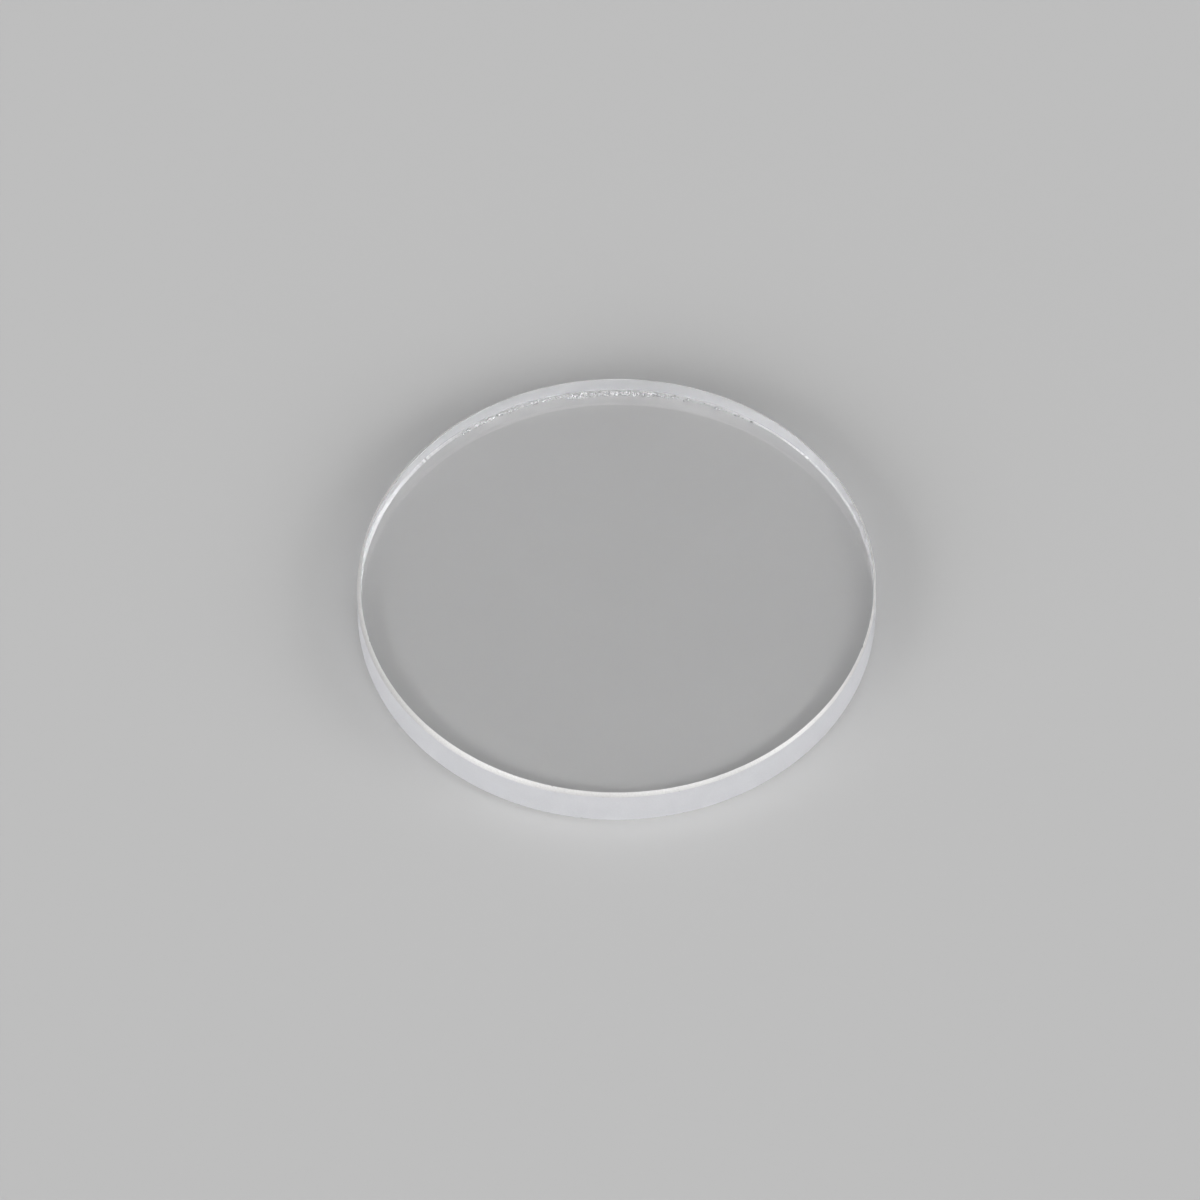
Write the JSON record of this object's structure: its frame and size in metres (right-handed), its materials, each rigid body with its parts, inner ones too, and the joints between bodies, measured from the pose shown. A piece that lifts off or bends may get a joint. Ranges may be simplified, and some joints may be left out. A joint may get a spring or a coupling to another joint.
{
  "type": "watch crystal",
  "caption": "Flat round watch crystal: a clear plane-parallel disc with polished faces, a ground matt wall and a narrow arris round each face, pressed into a bezel to cover the dial.",
  "frame": {"origin": "centre of the seat face, the underside that rests on the ledge in the watch case", "axes": "+Z along the disc's axis, out of the watch towards its reader; X and Y lie in the seat face and are free, because the disc is round"},
  "size_m": [0.0344, 0.0344, 0.003],
  "materials": {
    "sapphire": "colourless synthetic sapphire: both faces polished clear, wall and both arrises ground matt"
  },
  "bodies": {
    "root": {"crystal": "sapphire"}
  },
  "joints": []
}
